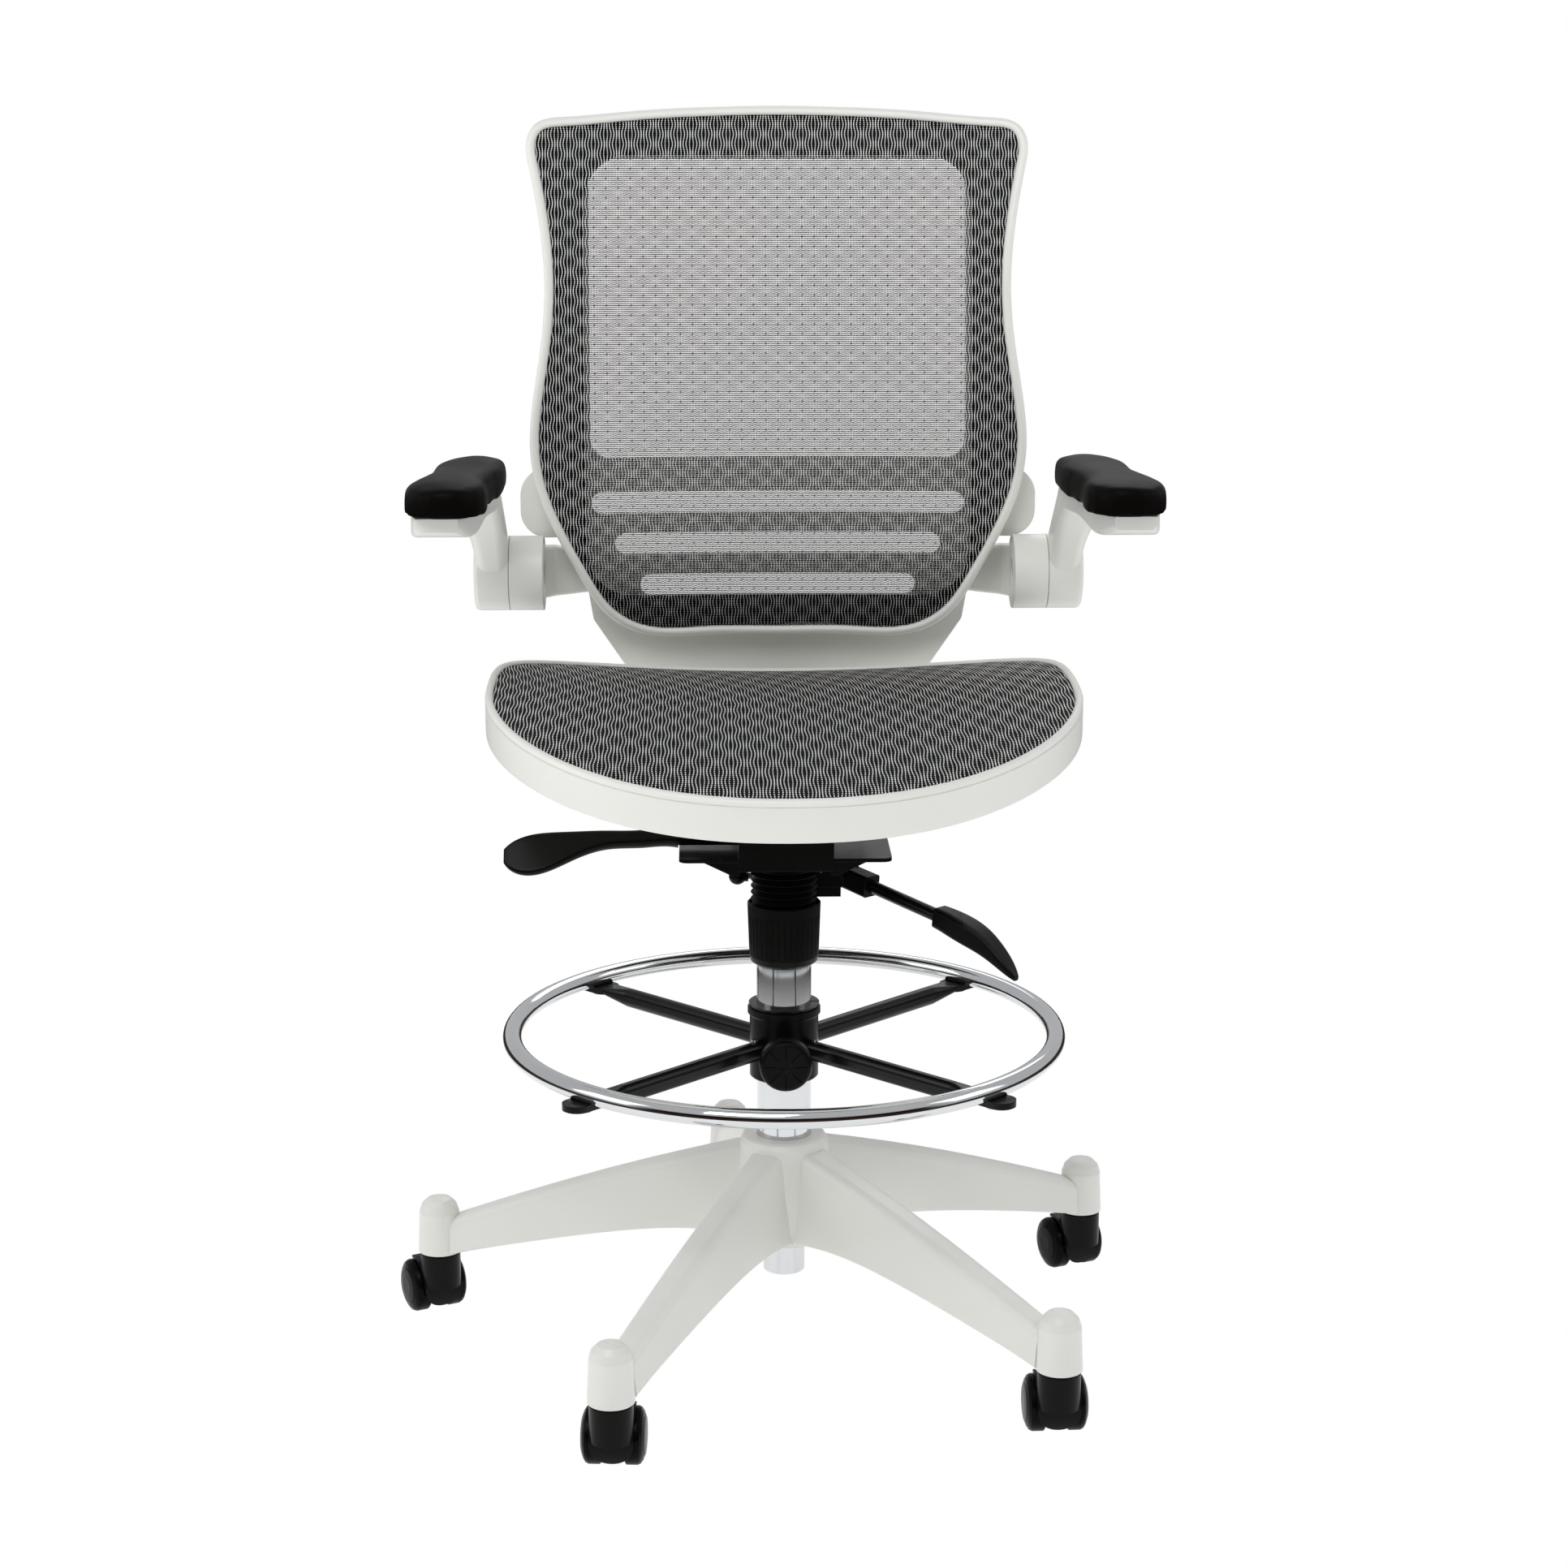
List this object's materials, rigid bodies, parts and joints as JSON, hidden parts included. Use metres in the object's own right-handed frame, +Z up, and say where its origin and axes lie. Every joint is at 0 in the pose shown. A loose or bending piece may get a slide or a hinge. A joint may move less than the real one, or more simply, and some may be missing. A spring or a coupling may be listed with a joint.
{
  "type": "drafting chair",
  "caption": "Tall swivel drafting chair with a mesh seat and back in a white frame, flip-up arms, a chrome foot ring, a gas lift and a star base on twin-wheel casters.",
  "frame": {"origin": "on the floor, under the middle of the gas lift column", "axes": "+Z up, -Y is the direction that the seat faces, +X towards a viewer's right who faces the chair"},
  "size_m": [0.6968, 0.6896, 1.129],
  "materials": {
    "white_plastic": "satin moulded nylon",
    "black_plastic": "satin moulded",
    "caster_nylon": "satin nylon",
    "guide_plastic": "smooth acetal",
    "chrome": "polished",
    "bright_steel": "zinc plated",
    "black_steel": "satin powder coat",
    "bellows_rubber": "matte moulded",
    "mesh_fabric": "open knit mesh with white dots",
    "arm_pad": "grained soft polyurethane"
  },
  "bodies": {
    "base": {"star_base": "white_plastic", "caster_stems": "bright_steel", "column_tube": "chrome", "guide_bush": "guide_plastic", "column_collar": "black_plastic", "thrust_bearing": "bright_steel"},
    "swivel": {"piston_rod": "bright_steel", "bellows": "bellows_rubber"},
    "lift": {"gas_cylinder": "bright_steel", "mechanism_housing": "black_steel", "housing_pins": "bright_steel", "tilt_springs": "bright_steel", "socket_cup": "bright_steel", "lever_bracket": "black_plastic"},
    "valve_button": {"valve_button": "bright_steel"},
    "release_rocker": {"release_rocker": "black_steel"},
    "height_lever": {"lever_shaft": "chrome", "lever_ball": "black_plastic", "lever_socket": "black_plastic", "lever_rod": "black_steel", "lever_grip": "black_plastic"},
    "tilt_lock": {"tilt_paddle": "black_plastic"},
    "seat": {"seat_plate": "black_steel", "seat_frame": "white_plastic", "seat_mesh": "mesh_fabric", "seat_pan": "white_plastic", "back_frame": "white_plastic", "back_mesh": "mesh_fabric", "mesh_carrier": "black_plastic", "rear_shell": "white_plastic", "back_bar": "black_steel", "frame_bolts": "bright_steel", "arm_brackets": "white_plastic"},
    "left_arm": {"left_arm": "white_plastic", "left_arm_pad": "arm_pad"},
    "right_arm": {"right_arm": "white_plastic", "right_arm_pad": "arm_pad"},
    "ring_sleeve": {"ring_liner": "guide_plastic"},
    "foot_ring": {"foot_ring": "chrome", "ring_hub": "black_plastic", "ring_spokes": "black_steel", "ring_screws": "chrome"},
    "clamp_knob": {"clamp_knob": "black_plastic", "clamp_screw": "bright_steel"},
    "caster_1": {"caster_hood_1": "black_plastic"},
    "wheel_1_left": {"caster_wheel_1_left": "caster_nylon"},
    "wheel_1_right": {"caster_wheel_1_right": "caster_nylon"},
    "caster_2": {"caster_hood_2": "black_plastic"},
    "wheel_2_left": {"caster_wheel_2_left": "caster_nylon"},
    "wheel_2_right": {"caster_wheel_2_right": "caster_nylon"},
    "caster_3": {"caster_hood_3": "black_plastic"},
    "wheel_3_left": {"caster_wheel_3_left": "caster_nylon"},
    "wheel_3_right": {"caster_wheel_3_right": "caster_nylon"},
    "caster_4": {"caster_hood_4": "black_plastic"},
    "wheel_4_left": {"caster_wheel_4_left": "caster_nylon"},
    "wheel_4_right": {"caster_wheel_4_right": "caster_nylon"},
    "caster_5": {"caster_hood_5": "black_plastic"},
    "wheel_5_left": {"caster_wheel_5_left": "caster_nylon"},
    "wheel_5_right": {"caster_wheel_5_right": "caster_nylon"}
  },
  "joints": [
    {"name": "seat_swivel", "type": "hinge", "parent": "base", "child": "swivel", "pos_m": [0, 0, 0.07], "axis": [0, 0, 1], "continuous": true},
    {"name": "seat_height", "type": "slide", "parent": "swivel", "child": "lift", "axis": [0, 0, 1], "range_m": [0, 0.15], "deforming": ["bellows"]},
    {"name": "height_lever_lift", "type": "hinge", "parent": "lift", "child": "height_lever", "pos_m": [0, 0.041, 0.434], "axis": [-1, 0, 0], "range_deg": [0, 11], "stiffness_Nm_per_rad": 2, "springref_deg": -17.19},
    {"name": "rocker_turn", "type": "hinge", "parent": "lift", "child": "release_rocker", "pos_m": [0, 0.036, 0.486], "axis": [1, 0, 0], "range_deg": [0, 4.5]},
    {"name": "valve_press", "type": "slide", "parent": "lift", "child": "valve_button", "axis": [0, 0, -1], "range_m": [0, 0.00305]},
    {"name": "tilt_lock_turn", "type": "hinge", "parent": "lift", "child": "tilt_lock", "pos_m": [-0.09, -0.016, 0.484], "axis": [-1, 0, 0], "range_deg": [0, 20]},
    {"name": "seat_tilt", "type": "hinge", "parent": "lift", "child": "seat", "pos_m": [0, -0.045, 0.505], "axis": [-1, 0, 0], "range_deg": [0, 15], "stiffness_Nm_per_rad": 80, "springref_deg": -20.05},
    {"name": "left_arm_flip", "type": "hinge", "parent": "seat", "child": "left_arm", "pos_m": [-0.256, 0.202, 0.693], "axis": [-1, 0, 0], "range_deg": [0, 90]},
    {"name": "right_arm_flip", "type": "hinge", "parent": "seat", "child": "right_arm", "pos_m": [0.256, 0.202, 0.693], "axis": [-1, 0, 0], "range_deg": [0, 90]},
    {"name": "foot_ring_height", "type": "slide", "parent": "base", "child": "ring_sleeve", "axis": [0, 0, 1], "range_m": [-0.05, 0.03]},
    {"name": "foot_ring_turn", "type": "hinge", "parent": "ring_sleeve", "child": "foot_ring", "pos_m": [0, 0, 0.29], "axis": [0, 0, 1], "continuous": true},
    {"name": "clamp_knob_turn", "type": "hinge", "parent": "foot_ring", "child": "clamp_knob", "pos_m": [0, -0.06, 0.284], "axis": [0, -1, 0], "range_deg": [0, 360]},
    {"name": "caster_1_swivel", "type": "hinge", "parent": "base", "child": "caster_1", "pos_m": [-0.15349, -0.2936, 0.05], "axis": [0, 0, 1], "continuous": true},
    {"name": "wheel_1_left_spin", "type": "hinge", "parent": "caster_1", "child": "wheel_1_left", "pos_m": [-0.15192, -0.27366, 0.025], "axis": [-0.9969, 0.0785, 0], "continuous": true},
    {"name": "wheel_1_right_spin", "type": "hinge", "parent": "caster_1", "child": "wheel_1_right", "pos_m": [-0.15192, -0.27366, 0.025], "axis": [-0.9969, 0.0785, 0], "continuous": true},
    {"name": "caster_2_swivel", "type": "hinge", "parent": "base", "child": "caster_2", "pos_m": [0.2318, -0.2367, 0.05], "axis": [0, 0, 1], "continuous": true},
    {"name": "wheel_2_left_spin", "type": "hinge", "parent": "caster_2", "child": "wheel_2_left", "pos_m": [0.23093, -0.21672, 0.025], "axis": [-0.999, -0.0436, 0], "continuous": true},
    {"name": "wheel_2_right_spin", "type": "hinge", "parent": "caster_2", "child": "wheel_2_right", "pos_m": [0.23093, -0.21672, 0.025], "axis": [-0.999, -0.0436, 0], "continuous": true},
    {"name": "caster_3_swivel", "type": "hinge", "parent": "base", "child": "caster_3", "pos_m": [0.29675, 0.14731, 0.05], "axis": [0, 0, 1], "continuous": true},
    {"name": "wheel_3_left_spin", "type": "hinge", "parent": "caster_3", "child": "wheel_3_left", "pos_m": [0.2891, 0.16578, 0.025], "axis": [-0.9239, -0.3827, 0], "continuous": true},
    {"name": "wheel_3_right_spin", "type": "hinge", "parent": "caster_3", "child": "wheel_3_right", "pos_m": [0.2891, 0.16578, 0.025], "axis": [-0.9239, -0.3827, 0], "continuous": true},
    {"name": "caster_4_swivel", "type": "hinge", "parent": "base", "child": "caster_4", "pos_m": [-0.0484, 0.32775, 0.05], "axis": [0, 0, 1], "continuous": true},
    {"name": "wheel_4_left_spin", "type": "hinge", "parent": "caster_4", "child": "wheel_4_left", "pos_m": [-0.05187, 0.34744, 0.025], "axis": [-0.9848, -0.1736, 0], "continuous": true},
    {"name": "wheel_4_right_spin", "type": "hinge", "parent": "caster_4", "child": "wheel_4_right", "pos_m": [-0.05187, 0.34744, 0.025], "axis": [-0.9848, -0.1736, 0], "continuous": true},
    {"name": "caster_5_swivel", "type": "hinge", "parent": "base", "child": "caster_5", "pos_m": [-0.32666, 0.05525, 0.05], "axis": [0, 0, 1], "continuous": true},
    {"name": "wheel_5_left_spin", "type": "hinge", "parent": "caster_5", "child": "wheel_5_left", "pos_m": [-0.33558, 0.07315, 0.025], "axis": [-0.8949, -0.4462, 0], "continuous": true},
    {"name": "wheel_5_right_spin", "type": "hinge", "parent": "caster_5", "child": "wheel_5_right", "pos_m": [-0.33558, 0.07315, 0.025], "axis": [-0.8949, -0.4462, 0], "continuous": true}
  ],
  "couplings": [
    {"joint": "rocker_turn", "follows": "height_lever_lift", "ratio": 0.4},
    {"joint": "valve_press", "follows": "height_lever_lift", "m_per_rad": 0.015626}
  ]
}
